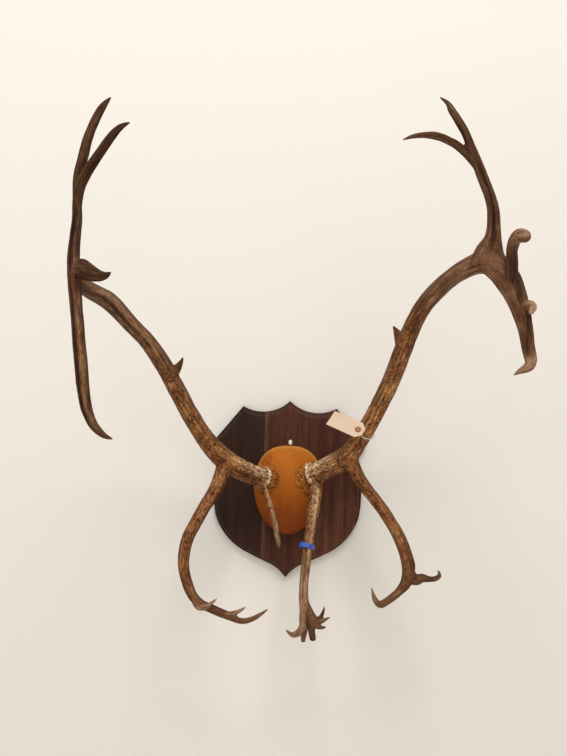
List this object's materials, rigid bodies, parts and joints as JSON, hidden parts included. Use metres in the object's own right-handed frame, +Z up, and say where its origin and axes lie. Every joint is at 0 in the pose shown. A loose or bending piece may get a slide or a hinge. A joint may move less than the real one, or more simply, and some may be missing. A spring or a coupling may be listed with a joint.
{
  "type": "caribou antler mount",
  "caption": "Caribou antlers rising from a tan leather skull cap on a dark walnut shield, with a blue seal band on a brow tine and a blank card tag tied to one beam",
  "frame": {"origin": "the middle of the shield's flat back face, which lies on the wall", "axes": "+Z up, +Y into the wall, so the front faces -Y; +X to the viewer's right"},
  "size_m": [0.7518, 0.5952, 0.9513],
  "materials": {
    "walnut": "dark satin walnut, upright grain, with a routed edge",
    "cap_leather": "smooth orange-tan leather with a soft sheen",
    "antler": "dry ridged antler, mid brown with paler ridges and grey-brown tips",
    "seal_blue": "blue plastic band",
    "tag_card": "buff card, left blank",
    "eyelet_brown": "reddish brown fibre patch",
    "string_cotton": "off-white twisted cotton string",
    "peg_white": "white, rounded"
  },
  "bodies": {
    "root": {"shield_plaque": "walnut", "leather_cap": "cap_leather", "left_beam": "antler", "left_brow_tine": "antler", "left_bez_tine": "antler", "left_upper_fork": "antler", "left_long_tine": "antler", "left_inner_tine": "antler", "right_beam": "antler", "right_palm": "antler", "right_brow_tine": "antler", "right_bez_tine": "antler", "right_upper_fork": "antler", "seal_band": "seal_blue", "hang_tag": "tag_card", "tag_eyelet": "eyelet_brown", "tag_string": "string_cotton", "white_peg": "peg_white"}
  },
  "joints": []
}
